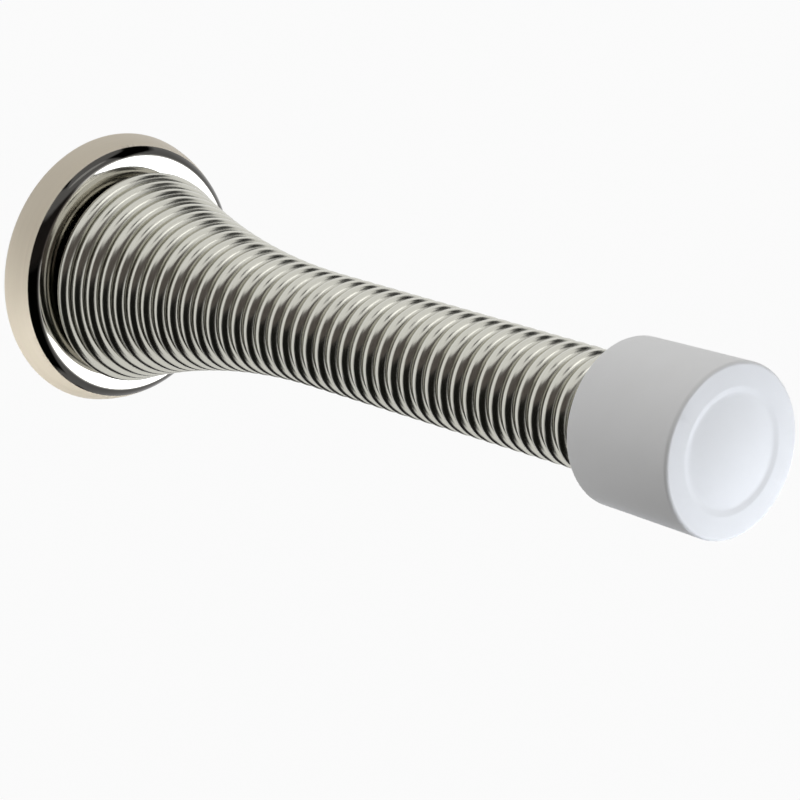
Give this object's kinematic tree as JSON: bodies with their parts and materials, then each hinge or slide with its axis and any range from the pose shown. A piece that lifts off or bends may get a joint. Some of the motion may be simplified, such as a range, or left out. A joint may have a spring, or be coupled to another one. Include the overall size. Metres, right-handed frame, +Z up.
{
  "type": "spring door stop",
  "caption": "Wall-mounted spring door stop: a round bevelled screw-on plate, a close-wound spring that flares like a trumpet onto the plate, and a soft white cap on the free end.",
  "frame": {"origin": "on the plate's axis, in the plane of its back face, which is the wall", "axes": "+Y into the wall along the stop's axis, so the cap points to -Y; +Z up; +X to the right as seen from the cap"},
  "size_m": [0.0256, 0.0825, 0.0256],
  "materials": {
    "satin_nickel": "satin nickel plate, polished on the bevel and the flat face",
    "bright_nickel": "bright nickel-plated spring wire",
    "white_rubber": "smooth moulded white rubber, slightly dull"
  },
  "bodies": {
    "fixed_end": {"base_plate": "satin_nickel", "coil_spring": "bright_nickel"},
    "free_end": {"rubber_cap": "white_rubber"}
  },
  "joints": [
    {"name": "spring_bend", "type": "hinge", "parent": "fixed_end", "child": "free_end", "pos_m": [0, -0.0385, 0], "axis": [0, 0, 1], "range_deg": [-40, 40], "stiffness_Nm_per_rad": 0.04, "deforming": ["coil_spring"]}
  ]
}
